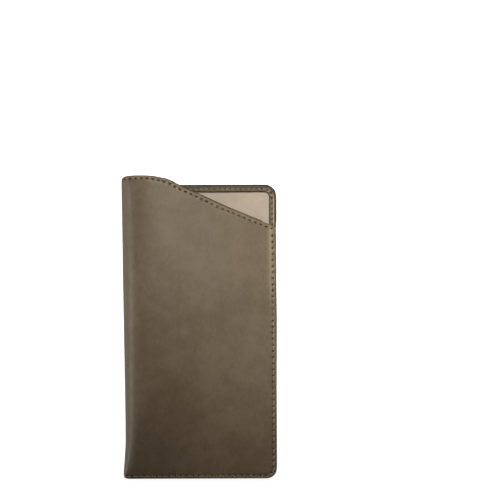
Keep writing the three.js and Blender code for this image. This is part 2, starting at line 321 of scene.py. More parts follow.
# Camera, floor and sky: pixels, the sensor in millimetres, then metres, radians, a count and strengths
PHOTO_SIDE = 500
CASE_PIXEL = (199.05, 327.25)
SENSOR_WIDTH = 36
PIXEL = 0.00055
CAMERA_HEIGHT = 1.1
VIEW_LEVEL = 0.008
CAMERA_TURN = -0.004
FLOOR_REACH = 8
FLOOR_DROP = 0.0002
WALL_HEIGHT = 1.4
WALL_SIDES = 48
FLOOR_GLOW = 0.87
SKY_STRENGTH = 0.02

# Lamps: metres, watts and degrees
TOP_SOFTBOX = {
    "size": (0.269, 0.258),
    "power": 0.303,
    "spread": 50,
    "place": (0.071, 0.17, 0.208),
    "aim": (0.086, 0.077, 0),
}
LEFT_STRIP = {
    "size": (0.411, 0.038),
    "power": 2.45,
    "spread": 180,
    "place": (-0.836, -0.074, 0.481),
    "aim": (0, 0.157, 0),
}

# Marks that every point of a sheet has, and the sockets of a node that mixes colours
# The second mark holds the real edge paint of the borders, painted shade along the fold's outer line and, on
# the facing, a painted highlight along its outer edge; the third holds painted highlights on the leather and
# a lighter tone down the facing's sewn side
MARKS = ("hole", "edge_paint_and_painted_light", "highlight_and_side_tone")
MIX_INPUTS = (0, 6, 7)
MIX_OUTPUT = 2

# Sizes that follow from the others
LINED = LEATHER_THICKNESS + LAYER_GAP + LINING_THICKNESS
SEAM_THICKNESS = 2 * LINED + POCKET_GAP
BOARD_ROOM = BOARD_THICKNESS + LAYER_GAP
RIM_START = FOLD_UNDER_REACH + FACING_START_IN
MOUTH_START = FOLD_REACH + FACING_START_IN
HUMP_TOP = BACK_HEIGHT + HUMP_RISE
HUMP_END = HUMP_PEAK_IN + HUMP_RUN
FACING_DEPTH = LINED + LAYER_GAP
CENTRE = np.array([CASE_WIDTH / 2, HUMP_TOP / 2, 0])


# The case's outer surface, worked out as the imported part's is, with the finish's rise of the mouth
def mix(start, end, share):
    return start + (end - start) * share


def ease(value):
    share = np.clip(value, 0, 1)
    return share * share * (3 - 2 * share)


def fold_edge(y):
    fade = np.where(y > FOLD_LEAN_HOLD, 1 - (y - FOLD_LEAN_HOLD) / (HUMP_TOP - FOLD_LEAN_HOLD), 1)
    return mix(FOLD_FOOT_INSET, FOLD_LEAN, ease(y / FOLD_LEAN_RUN)) * fade


def back_off_table(x, y):
    edge_distance = np.minimum(np.minimum(CASE_WIDTH - x, y), BACK_HEIGHT - y)
    return SEAM_LIFT * (1 - ease((edge_distance - SEAM_WIDTH) / SEAM_LIFT_RUN))


def fold_opening(y):
    return 1 - (1 - np.minimum(y / FOLD_OPEN_RUN, 1)) ** 2


def fold_top(y):
    return mix(SEAM_LIFT + SEAM_THICKNESS, SIDE_THICKNESS, fold_opening(y))


def waist_height(y):
    return back_off_table(0, y) + mix(SEAM_THICKNESS / 2, FOLD_WAIST, fold_opening(y))


def front_start(y):
    return fold_edge(y) + mix(FOLD_FOOT_REACH, FOLD_REACH, fold_opening(y))


def back_start(y):
    return fold_edge(y) + mix(FOLD_UNDER_FOOT_REACH, FOLD_UNDER_REACH, fold_opening(y))


def fold_point(angle, y, depth):
    """Place in x and z on the fold: a wide arch above its waist and a tight one below it."""
    upper = angle >= 0
    reach = np.where(upper, front_start(y), back_start(y)) - fold_edge(y)
    waist = waist_height(y)
    rise = np.where(upper, fold_top(y) - waist, waist - back_off_table(0, y))
    x = fold_edge(y) + reach - (reach - depth) * np.cos(angle)
    return x, waist + (rise - depth) * np.sin(angle)


def from_fold_edge(angle, y):
    return fold_point(angle, y, 0)[0] - fold_edge(y)


def front_height(x, y):
    seam_top = SEAM_LIFT + SEAM_THICKNESS
    start = front_start(y)
    share = np.clip((x - start) / (CASE_WIDTH - SEAM_WIDTH - start), 0, 1)
    return seam_top + (fold_top(y) - seam_top) * (1 - share**FRONT_FALL_POWER)


def top_height(x, y):
    start = front_start(y)
    across = np.clip((start - x) / (start - fold_edge(y)), 0, 1)
    curved = waist_height(y) + (fold_top(y) - waist_height(y)) * np.sqrt(1 - across**2)
    return np.where(x >= start, front_height(x, y), curved)


def mouth_height(x):
    hump = HUMP_TOP - HUMP_DROP * (np.abs(x - HUMP_PEAK_IN) / HUMP_RUN) ** HUMP_POWER
    run = CASE_WIDTH - HUMP_END
    slope = HUMP_POWER * HUMP_DROP / HUMP_RUN
    straight_end = HUMP_TOP - HUMP_DROP - slope * run
    bend = (BACK_HEIGHT - MOUTH_RIGHT_DROP - straight_end) / run**2
    along = x - HUMP_END
    slant = HUMP_TOP - HUMP_DROP - slope * along + bend * along**2
    from_start = ease((x - MOUTH_RISE_START) / MOUTH_RISE_RUN)
    from_end = ease((CASE_WIDTH - x) / MOUTH_RISE_END_RUN)
    return np.where(x < HUMP_END, hump, slant) + MOUTH_RISE * from_start * from_end


def corner_drop(x, radius, edge):
    into = np.maximum(x - (edge - radius), 0)
    return radius - np.sqrt(np.maximum(radius**2 - into**2, 0))


def soft_wave(x, y, seed):
    """Slow unevenness of hand-worked leather, from -1 to 1."""
    (across1, along1), (across2, along2), (across3, along3) = WAVE_TURNS
    first = np.sin(x * across1 + seed) * np.cos(y * along1 - WAVE_SEEDS[0] * seed)
    second = np.sin(x * across2 - y * along2 + WAVE_SEEDS[1] * seed)
    third = np.cos(x * across3 + y * along3 + WAVE_SEEDS[2] * seed)
    return WAVE_SHARES[0] * first + WAVE_SHARES[1] * second + WAVE_SHARES[2] * third


# Stitch lines: points every fraction of a millimetre, and the needle holes among them
def resample(points):
    points = np.asarray(points, float)
    lengths = np.r_[0, np.cumsum(np.hypot(*np.diff(points, axis=0).T))]
    along = np.linspace(0, lengths[-1], int(lengths[-1] / LINE_STEP) + 1)
    return np.c_[np.interp(along, lengths, points[:, 0]), np.interp(along, lengths, points[:, 1])]


def arc(centre, radii, start, end):
    """Points round an ellipse, between two angles in degrees."""
    angles = np.linspace(np.radians(start), np.radians(end), ARC_POINTS)
    return [(centre[0] + radii[0] * np.cos(a), centre[1] + radii[1] * np.sin(a)) for a in angles]


def rim_line(inset, start, end):
    corner = (CASE_WIDTH - TOP_CORNER_RADIUS, BACK_HEIGHT - TOP_CORNER_RADIUS)
    turn = arc(corner, (TOP_CORNER_RADIUS - inset, TOP_CORNER_RADIUS - inset), QUARTER_TURN, 0)
    return resample([(start, BACK_HEIGHT - inset), *turn, (CASE_WIDTH - inset, end)])


def mouth_line(inset, start, end):
    x = np.linspace(start, end, MOUTH_LINE_POINTS)
    slope = np.gradient(mouth_height(x), x)
    length = np.hypot(1, slope)
    return resample(np.c_[x + slope * inset / length, mouth_height(x) - inset / length])


def side_line():
    corner = (CASE_WIDTH - CORNER_RADIUS, CORNER_RADIUS)
    radii = (CORNER_RADIUS - SIDE_HOLE_INSET, CORNER_RADIUS - BOTTOM_HOLE_INSET)
    turn = arc(corner, radii, 0, -QUARTER_TURN)
    start = (CASE_WIDTH - SIDE_HOLE_INSET, float(mouth_height(CASE_WIDTH)) - SEAM_TOP_GAP)
    return resample([start, *turn, (FOLD_FOOT_INSET + FOLD_CORNER, BOTTOM_HOLE_INSET)])


class Row:
    """A row of stitches: its line and pitch, the holes' half length, the thread's rise and bow, and the share
    of a hole's mark that shows along the top."""

    def __init__(self, line, pitch, slot_half, rise, bow=0, top_share=1):
        self.line = line
        self.count = round(len(line) * LINE_STEP / pitch)
        self.pitch = pitch
        self.slot_half = slot_half
        self.rise = rise
        self.bow = bow
        self.holes = line[np.linspace(0, len(line) - 1, self.count + 1).round().astype(int)]
        on_side = ease((self.holes[:, 0] - CASE_WIDTH + SIDE_START_IN) / SIDE_RUN)
        self.shares = mix(top_share, 1, on_side)


class Holes:
    """Needle holes and the seam lines through them: gives the dent and the marks at any place in plan."""

    def __init__(self, *rows):
        counts = [len(row.holes) for row in rows]
        self.half_length = np.repeat([row.slot_half for row in rows], counts)
        self.shares = np.concatenate([row.shares for row in rows])
        self.hole_tree = self.tree(np.vstack([row.holes for row in rows]))
        self.line_tree = self.tree(np.vstack([row.line for row in rows]))

    @staticmethod
    def tree(points):
        tree = kdtree.KDTree(len(points))
        for index, point in enumerate(points):
            tree.insert((point[0], point[1], 0), index)
        tree.balance()
        return tree

    @staticmethod
    def nearest(tree, x, y):
        found = [tree.find((a, b, 0))[1:] for a, b in zip(np.ravel(x), np.ravel(y))]
        index, distance = zip(*found)
        return np.array(index), np.array(distance)

    def aside(self, x, y):
        return self.nearest(self.line_tree, x, y)[1]

    def marks(self, x, y):
        aside = self.aside(x, y)
        index, away = self.nearest(self.hole_tree, x, y)
        along = np.sqrt(np.maximum(away**2 - aside**2, 0)) / self.half_length[index]
        hole = self.shares[index] * np.exp(-(along**SLOT_END_POWER) - (aside / SLOT_HALF_WIDTH) ** 2)
        return hole, np.exp(-((aside / GROOVE_WIDTH) ** 2))


rim_end = float(mouth_height(CASE_WIDTH - RIM_FACING_WIDTH))
mouth_line_end = CASE_WIDTH - MOUTH_SEAM_END_IN
mouth_inside_end = CASE_WIDTH - MOUTH_BOBBIN_END_IN
side_row = Row(side_line(), SIDE_STITCH_PITCH, SIDE_SLOT_HALF, SIDE_THREAD_RISE, SIDE_THREAD_BOW)
side_back_row = Row(side_line(), SIDE_STITCH_PITCH, SIDE_SLOT_HALF, SIDE_THREAD_RISE)
mouth_row = Row(
    mouth_line(MOUTH_HOLE_INSET, MOUTH_SEAM_START, mouth_line_end),
    MOUTH_STITCH_PITCH, MOUTH_SLOT_HALF, MOUTH_THREAD_RISE,
)
mouth_inside_row = Row(
    mouth_line(MOUTH_HOLE_INSET, MOUTH_START, mouth_inside_end),
    MOUTH_STITCH_PITCH, MOUTH_SLOT_HALF, SIDE_THREAD_RISE,
)
rim_row = Row(
    rim_line(RIM_HOLE_INSET, RIM_START, rim_end),
    RIM_STITCH_PITCH, RIM_SLOT_HALF, RIM_THREAD_RISE, top_share=RIM_TOP_HOLE_SHARE,
)
front_holes = Holes(side_row, mouth_row)
back_holes = Holes(side_back_row, rim_row)
rim_holes = Holes(rim_row)


# Closed sheets, built flat in their own grid and then put in place
def new_object(name, points, faces, marks, material):
    mesh = bpy.data.meshes.new(name)
    mesh.from_pydata([tuple(p) for p in (np.asarray(points) - CENTRE) * MM], [], faces)
    for mark, values in marks.items():
        mesh.attributes.new(mark, "FLOAT", "POINT").data.foreach_set("value", np.asarray(values, np.float32))
    mesh.polygons.foreach_set("use_smooth", [True] * len(mesh.polygons))
    mesh.materials.append(material)
    mesh.validate()
    mesh.update()
    made = bpy.data.objects.new(name, mesh)
    bpy.context.scene.collection.objects.link(made)
    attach(made, "root")
    return made


def grid_key(u, v):
    return round(float(u), GRID_DECIMALS), round(float(v), GRID_DECIMALS)


def cut_grid(us, vs, near_line, cuts):
    """Places and faces of a flat grid over us by vs, cut finer where near_line says."""
    grid = bmesh.new()
    corners = [[grid.verts.new((u, v, 0)) for v in vs] for u in us]
    for i in range(len(us) - 1):
        for j in range(len(vs) - 1):
            grid.faces.new((corners[i][j], corners[i + 1][j], corners[i + 1][j + 1], corners[i][j + 1]))
    inner_faces = [f for f in grid.faces if not any(e.is_boundary for e in f.edges)]
    middles = np.array([f.calc_center_median() for f in inner_faces])
    close = near_line(middles[:, 0], middles[:, 1])
    chosen = {e for f, wanted in zip(inner_faces, close) if wanted for e in f.edges}
    if chosen:
        edges = [e for e in grid.edges if e in chosen]
        bmesh.ops.subdivide_edges(grid, edges=edges, cuts=cuts, use_grid_fill=True)
        bmesh.ops.triangulate(grid, faces=[f for f in grid.faces if len(f.verts) > QUAD_CORNERS])
    grid.verts.index_update()
    places = np.array([v.co[:2] for v in grid.verts])
    faces = [[v.index for v in f.verts] for f in grid.faces]
    grid.free()
    return places, faces


def grid_border(count_u, count_v):
    """The grid's corners along its border, all the way round."""
    border = [(i, 0) for i in range(count_u - 1)]
    border += [(count_u - 1, j) for j in range(count_v - 1)]
    border += [(i, count_v - 1) for i in range(count_u - 1, 0, -1)]
    border += [(0, j) for j in range(count_v - 1, 0, -1)]
    return border


def closed_sheet(name, us, vs, place, near_line, cuts, material):
    """A sheet over the grid us by vs, with its outside cut finer near a line and rounded walls at its border.
    place(u, v, side) gives points and marks, with side 0 outside and 1 inside."""
    count_u, count_v = len(us), len(vs)
    params, faces = cut_grid(us, vs, near_line, cuts)
    border = grid_border(count_u, count_v)
    at_corner = {grid_key(u, v): index for index, (u, v) in enumerate(params)}
    outer_border = [at_corner[grid_key(us[i], vs[j])] for i, j in border]

    outer, outer_marks = place(params[:, 0], params[:, 1], 0)
    flat_u, flat_v = np.meshgrid(us, vs, indexing="ij")
    inner, inner_marks = place(flat_u.ravel(), flat_v.ravel(), 1)
    inner_start = len(outer)
    for i in range(count_u - 1):
        for j in range(count_v - 1):
            a = inner_start + i * count_v + j
            faces.append([a, a + 1, a + count_v + 1, a + count_v])
    inner_border = [inner_start + i * count_v + j for i, j in border]
    points = np.vstack([outer, inner])

    def step_in(i, j):
        return min(max(i, 1), count_u - 2) * count_v + min(max(j, 1), count_v - 2)

    outward = np.array([inner[i * count_v + j] - inner[step_in(i, j)] for i, j in border])
    outward /= np.linalg.norm(outward, axis=1)[:, None]
    loops = [outer_border]
    total = len(points)
    walls = []
    for step in range(1, EDGE_STEPS):
        share = step / EDGE_STEPS
        bulge = EDGE_ROUND * np.sin(np.pi * share)
        walls.append(mix(points[outer_border], points[inner_border], share) + outward * bulge)
        loops.append(list(range(total, total + len(border))))
        total += len(border)
    loops.append(inner_border)
    points = np.vstack([points, *walls])
    for upper, lower in zip(loops, loops[1:]):
        for k in range(len(border)):
            after = (k + 1) % len(border)
            faces.append([upper[k], lower[k], lower[after], upper[after]])
    edge = np.zeros(len(points))
    border_shares = [FRONT_EDGE_SHARE if us[i] > 1 + FOLD_MIDDLE_SHARE else 1 for i, _ in border]
    edge[inner_start + len(inner):] = np.tile(border_shares, EDGE_STEPS - 1)
    edge[outer_border] = EDGE_START_SHARE
    edge[inner_border] = EDGE_START_SHARE
    spare = np.zeros((len(MARKS), len(points) - len(outer) - len(inner)))
    marks = dict(zip(MARKS, np.hstack([outer_marks, inner_marks, spare])))
    marks["edge"] = edge
    return new_object(name, points, faces, marks, material)


def spaced(distances, length, step):
    """Distances from both ends of a length, and even steps between them."""
    middle = np.arange(distances[-1], length - distances[-1] + step / 2, step)
    count = max(len(middle), LEAST_ROWS)
    between = np.linspace(distances[-1], length - distances[-1], count)
    return np.r_[distances[:-1], between, length - np.array(distances[:-1])[::-1]] / length


def outline_distance(x, y, radius):
    """Distance in plan from the right edge and from the edge at y = 0, round their corner."""
    into_x = x - (CASE_WIDTH - radius)
    into_y = radius - y
    in_corner = (into_x > 0) & (into_y > 0)
    round_corner = radius - np.hypot(np.maximum(into_x, 0), np.maximum(into_y, 0))
    return np.where(in_corner, round_corner, np.minimum(CASE_WIDTH - x, y))


def edge_paint_and_fold_shade(x, y, turn, angle, in_fold):
    """The painted border of the sewn edges and the rim, weaker on the front, and painted shade along the
    fold's outer line.
    """
    low = outline_distance(x, y, CORNER_RADIUS)
    high = np.where(turn > FOLD_MIDDLE_SHARE, low, outline_distance(x, BACK_HEIGHT - y, TOP_CORNER_RADIUS))
    border = ease((PAINT_WIDTH + PAINT_FADE - np.minimum(low, high)) / PAINT_FADE)
    # Painted shade along the fold's outermost line, where the turning leather faces away from the light; it
    # takes the border paint's colour
    fold_shade_line = FOLD_SHADE_STRENGTH * np.exp(-((angle / FOLD_SHADE_ANGLE) ** 2)) * in_fold
    return np.maximum(border * np.where(turn > FOLD_MIDDLE_SHARE, FRONT_PAINT_SHARE, 1), fold_shade_line)


def raised_and_highlit_seam_band(x, y):
    """The band that the seam presses up beside itself, down the upper part of the sewn side; it is raised,
    and its lighter colour is a painted highlight that fades out downwards.
    """
    band = np.exp(-(((CASE_WIDTH - x - PRESSED_IN) / PRESSED_WIDTH) ** 2))
    return band * ease((y - PRESSED_START) / PRESSED_RUN)


def mouth_edge_highlight(x, y):
    """A thin painted highlight between the mouth's edge and its stitches, where the edge's bevel catches the
    light.
    """
    return np.exp(-(((mouth_height(x) - y - MOUTH_HIGHLIGHT_IN) / MOUTH_HIGHLIGHT_WIDTH) ** 2))


def wrapped_place(inset, depth_at, thickness_at, holes_front, holes_back, wave):
    """Places u from the back's right edge (0) over the fold (1 to 2) to the front's right edge (3)."""
    right = CASE_WIDTH - inset
    radius = CORNER_RADIUS - inset

    def across(distance_share, start):
        # The outermost share of a panel turns round the corner, so that rows stay even there
        plain = np.clip(distance_share / CORNER_SHARE, 0, 1)
        turn = np.clip((distance_share - CORNER_SHARE) / (1 - CORNER_SHARE), 0, 1)
        return mix(start, right - radius, plain) + radius * np.sin(np.pi / 2 * turn)

    def place(u, v, side):
        on_back = u <= 1
        on_front = u >= 2
        turn = np.clip(u - 1, 0, 1)
        distance = np.where(on_back, 1 - u, np.where(on_front, u - 2, 0))
        angle = np.pi * turn - np.pi / 2
        in_fold = ~(on_back | on_front)
        start_at = np.where(on_front, front_start(HUMP_TOP), back_start(HUMP_TOP))
        guess = np.where(in_fold, fold_point(angle, HUMP_TOP, 0)[0], across(distance, start_at))
        top = mix(BACK_HEIGHT, mouth_height(guess), ease(2 * turn))
        top_radius = np.where(on_front, MOUTH_CORNER_RADIUS, TOP_CORNER_RADIUS - inset)
        round_foot = np.where(in_fold, corner_drop(-from_fold_edge(angle, 0), FOLD_CORNER, 0), 0)
        round_top = np.where(in_fold, corner_drop(-from_fold_edge(angle, HUMP_TOP), FOLD_CORNER, 0), 0)
        bottom = inset + corner_drop(guess, radius, right) + round_foot
        top = top - inset - corner_drop(guess, top_radius, right) - round_top
        y = mix(bottom, top, v)
        x = across(distance, np.where(on_front, front_start(y), back_start(y)))
        x = np.where(in_fold, fold_point(angle, y, 0)[0], x)
        depth = depth_at(x, y, turn) + side * thickness_at(x, y)
        above_mouth = ease((y - mouth_height(CASE_WIDTH)) / RIM_SPREAD_RUN)
        x = x + RIM_SPREAD * above_mouth * ease(distance) * on_back
        hole = np.zeros_like(u)
        edge_paint_and_painted_light = edge_paint_and_fold_shade(x, y, turn, angle * in_fold, in_fold)
        # The raised band beside the side seam, which also carries a painted highlight
        raised_highlit_band = raised_and_highlit_seam_band(x, y) * on_front
        if side == 0 and holes_front:
            front_hole, front_groove = holes_front.marks(x, y)
            back_hole, back_groove = holes_back.marks(x, y)
            hole = np.where(turn > FOLD_MIDDLE_SHARE, front_hole, back_hole)
            groove = np.where(turn > FOLD_MIDDLE_SHARE, front_groove, back_groove)
            depth = depth + GROOVE_DEPTH * groove + HOLE_DEPTH * hole - PRESSED_RISE * raised_highlit_band
            depth = depth + wave * soft_wave(x + FRONT_WAVE_SHIFT * turn, y, LEATHER_SEED) * (turn > 0)
        fold_x, fold_z = fold_point(angle, y, depth)
        panel_z = np.where(on_front, front_height(x, y) - depth, back_off_table(x, y) + depth)
        points = np.c_[np.where(in_fold, fold_x, x), y, np.where(in_fold, fold_z, panel_z)]
        # A painted highlight along the fold's ridge
        fold_highlight = FOLD_HIGHLIGHT_SHARE * np.exp(-(((angle - FOLD_HIGHLIGHT_ANGLE) / FOLD_HIGHLIGHT_WIDTH) ** 2)) * in_fold
        mouth_highlight = mouth_edge_highlight(x, y) * (turn > FOLD_MIDDLE_SHARE)
        # Painted highlights, all in one mark
        highlight_and_side_tone = np.maximum(np.maximum(raised_highlit_band, fold_highlight), mouth_highlight)
        return points, np.array([hole, edge_paint_and_painted_light, highlight_and_side_tone])

    return place


def wrapped_columns(step):
    """Grid values for wrapped_place, with a narrow column along each right edge."""
    plain_length = CASE_WIDTH - FOLD_UNDER_REACH - CORNER_RADIUS
    plain = np.linspace(0, CORNER_SHARE, int(plain_length / step) + 1)
    turns = np.arcsin(1 - np.array(CORNER_RINGS) / CORNER_RADIUS) / (np.pi / 2)
    panel = np.r_[plain, mix(CORNER_SHARE, 1, turns)]
    fold = np.linspace(1, 2, FOLD_COLUMNS + 1)[1:-1]
    return np.r_[1 - panel[::-1], fold, 2 + panel]


def wrapped_rows(step):
    return spaced(EDGE_RINGS, BACK_HEIGHT, step)


def cut_size(place, us, vs):
    """Largest width and length, and the area, of a sheet's flat cut, in metres."""
    u, v = np.meshgrid(us, vs, indexing="ij")
    points = place(u.ravel(), v.ravel(), 0)[0].reshape(len(us), len(vs), 3) * MM
    across = np.diff(points, axis=0)
    along = np.diff(points, axis=1)
    width = np.linalg.norm(across, axis=2).sum(axis=0).max()
    length = np.linalg.norm(along, axis=2).sum(axis=1).max()
    area = np.linalg.norm(np.cross(across[:, :-1], along[:-1]), axis=2).sum()
    return width, length, area


def near_any(place, lines_front, lines_back, reach):
    def near(u, v):
        points, _ = place(u, v, 1)
        front = lines_front.aside(points[:, 0], points[:, 1])
        back = lines_back.aside(points[:, 0], points[:, 1])
        return np.where(u > 1 + FOLD_MIDDLE_SHARE, front, back) < reach
    return near


def leather_thickness(x, y):
    """Plain hide, drawn together with the other panel's along the sewn edges."""
    nearness = (CLOSED_EDGE_WIDTH - outline_distance(x, y, CORNER_RADIUS)) / (CLOSED_EDGE_WIDTH - EDGE_ROUND)
    sewn = (y < mouth_height(CASE_WIDTH) - MOUTH_CORNER_RADIUS) | (x < CASE_WIDTH - CORNER_RADIUS)
    closed = (SEAM_THICKNESS - CLOSED_EDGE_GAP) / 2 - LEATHER_THICKNESS
    return LEATHER_THICKNESS + closed * ease(nearness) * sewn


def no_depth(x, y, turn):
    return np.zeros_like(x)


def lining_depth(x, y, turn):
    edge_depth = LEATHER_THICKNESS + LAYER_GAP
    spare = front_height(x, y) - back_off_table(x, y) - SEAM_THICKNESS
    on_front = turn > FOLD_MIDDLE_SHARE
    top = np.where(on_front, mouth_height(x) - MOUTH_FACING_WIDTH, BACK_HEIGHT - RIM_FACING_WIDTH)
    right = np.where(on_front, CASE_WIDTH - SEAM_WIDTH, CASE_WIDTH - RIM_FACING_WIDTH)
    from_mouth = ease((top - y - LINING_RAMP_START) / LINING_RAMP_RUN)
    from_side = ease((right - x - LINING_RAMP_START) / LINING_RAMP_RUN)
    start = np.where(on_front, front_start(y), back_start(y))
    from_fold = ease((x - start - LINING_RAMP_START) / LINING_RAMP_RUN)
    from_seams = ease(spare / (BOARD_SPARE_RATIO * BOARD_ROOM))
    room = BOARD_ROOM * from_mouth * from_side * from_fold * from_seams
    return edge_depth + np.where((turn > 0) & (turn < 1), 0, room)


def lining_thickness(x, y):
    return LINING_THICKNESS + NAP_WAVE * soft_wave(NAP_WAVE_SCALES[0] * x, NAP_WAVE_SCALES[1] * y, NAP_SEED)


def line_place(line, offsets, top_at, thick_edge, lowest_at, holes):
    """Places a strip along a line: u goes across from the first offset, given at each x, to the second,
    and v along the line."""
    along = np.linspace(0, 1, len(line))
    slope_x = np.gradient(line[:, 0])
    slope_y = np.gradient(line[:, 1])
    length = np.hypot(slope_x, slope_y)
    normal_x = slope_y / length
    normal_y = -slope_x / length

    def place(u, v, side):
        start = offsets[0](np.interp(v, along, line[:, 0]))
        offset = mix(start, offsets[1], u)
        x = np.interp(v, along, line[:, 0]) + np.interp(v, along, normal_x) * offset
        y = np.interp(v, along, line[:, 1]) + np.interp(v, along, normal_y) * offset
        y = np.maximum(y, lowest_at(x))
        edge = ease((thick_edge - (offset - start)) / (thick_edge - EDGE_ROUND))
        hole = np.zeros_like(u)
        groove = np.zeros_like(u)
        if side == 0 and holes:
            hole, groove = holes.marks(x, y)
        on_side = ease((x - CASE_WIDTH + SIDE_START_IN) / SIDE_RUN)
        # A painted highlight along the facing's outer edge, fading in below the top of the rim; it goes in
        # the second mark, and the third mark lightens the facing's tone down the sewn side
        outer_edge = np.exp(-(((offset - start) / FACING_HIGHLIGHT_WIDTH) ** 2))
        z = top_at(x, y, edge, side) - GROOVE_DEPTH * groove - HOLE_DEPTH * hole
        highlight_and_side_tone = ease((BACK_HEIGHT - HIGHLIGHT_START_DOWN - y) / HIGHLIGHT_RUN)
        return np.c_[x, y, z], np.array([hole, highlight_and_side_tone * outer_edge, on_side])

    return place


def rim_top(x, y, edge, side):
    bottom = back_off_table(x, y) + FACING_DEPTH
    if side == 0:
        wave = RIM_WAVE * soft_wave(RIM_WAVE_SCALE * x, RIM_WAVE_SCALE * y, RIM_SEED)
        return bottom + FACING_THICKNESS + wave
    return bottom - (LINING_THICKNESS + LAYER_GAP) * edge


def mouth_facing_top(x, y, edge, side):
    depth = FACING_DEPTH + FACING_THICKNESS * (side == 1)
    if side == 0:
        depth = depth - (LINING_THICKNESS + LAYER_GAP) * edge
    return front_height(x, y) - depth


def rim_lowest(x):
    """The strip ends along the mouth's edge, down the sewn side, and is whole under the hump."""
    return np.where(x > CASE_WIDTH / 2, mouth_height(x), 0)


def mouth_lowest(x):
    """The mouth's strip is whole."""
    return np.zeros_like(x)


def rim_side_inset(x):
    return RIM_FACING_SIDE_INSET * ease((x - CASE_WIDTH + SIDE_START_IN) / SIDE_RUN)


def mouth_edge_offset(x):
    return EDGE_ROUND - MOUTH_FACING_PROUD * ease((x - HUMP_PEAK_IN) / HUMP_RUN)


def near_line(place, holes, reach):
    def near(u, v):
        points, _ = place(u, v, 1)
        return holes.aside(points[:, 0], points[:, 1]) < reach
    return near


def nowhere(u, v):
    return np.zeros(len(u), bool)


# Thread, laid stitch by stitch along a seam and sunk into each needle hole
def thread(seam, row, height_at, side):
    count = row.count * THREAD_STEPS
    share = np.arange(count + 1) / count
    index = share * (len(row.line) - 1)
    x = np.interp(index, np.arange(len(row.line)), row.line[:, 0])
    y = np.interp(index, np.arange(len(row.line)), row.line[:, 1])
    within = (share * row.count) % 1
    from_hole = row.pitch * np.minimum(within, 1 - within)
    up = ease((from_hole - row.slot_half + THREAD_TURN_IN) / THREAD_TURN)
    length = np.hypot(np.gradient(x), np.gradient(y))
    across = np.c_[np.gradient(y) / length, -np.gradient(x) / length]
    aside = -THREAD_SLANT * np.sin(2 * np.pi * within) - row.bow * up
    x = x + across[:, 0] * aside
    y = y + across[:, 1] * aside
    slope_x = (height_at(x + SLOPE_STEP, y) - height_at(x - SLOPE_STEP, y)) / (2 * SLOPE_STEP)
    slope_y = (height_at(x, y + SLOPE_STEP) - height_at(x, y - SLOPE_STEP)) / (2 * SLOPE_STEP)
    normal = np.c_[-slope_x, -slope_y, np.ones_like(x)]
    normal *= side / np.linalg.norm(normal, axis=1)[:, None]
    lift = mix(-THREAD_DIP, THREAD_RADIUS + row.rise, up) - GROOVE_DEPTH
    centre = np.c_[x, y, height_at(x, y)] + normal * lift[:, None]
    ahead = np.gradient(centre, axis=0)
    ahead /= np.linalg.norm(ahead, axis=1)[:, None]
    beside = np.cross(ahead, normal)
    beside /= np.linalg.norm(beside, axis=1)[:, None]
    above = np.cross(beside, ahead)
    travelled = np.r_[0, np.cumsum(np.linalg.norm(np.diff(centre, axis=0), axis=1))]
    rings = []
    for side_index in range(THREAD_SIDES):
        angle = 2 * np.pi * side_index / THREAD_SIDES
        lobe = 1 + THREAD_LOBE_SHARE * np.cos(THREAD_LOBES * (angle - THREAD_TWIST * travelled))
        radius = THREAD_RADIUS * lobe / (1 + THREAD_LOBE_SHARE)
        ring = centre + (radius * np.cos(angle))[:, None] * beside
        rings.append(ring + (radius * np.sin(angle))[:, None] * above)
    points = np.stack(rings, axis=1).reshape(-1, 3)
    faces = []
    for step in range(count):
        for k in range(THREAD_SIDES):
            a = step * THREAD_SIDES + k
            b = step * THREAD_SIDES + (k + 1) % THREAD_SIDES
            faces.append([a, b, b + THREAD_SIDES, a + THREAD_SIDES])
    last = count * THREAD_SIDES
    faces.append(list(range(THREAD_SIDES))[::-1])
    faces.append([last + k for k in range(THREAD_SIDES)])
    made = new_object(seam + "_stitches", points, faces, {}, materials["thread"])
    flip_if_inside_out(made)
    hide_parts(seam + "_thread")


def flip_if_inside_out(made):
    shell = bmesh.new()
    shell.from_mesh(made.data)
    if shell.calc_volume(signed=True) < 0:
        bmesh.ops.reverse_faces(shell, faces=shell.faces)
        shell.to_mesh(made.data)
    shell.free()


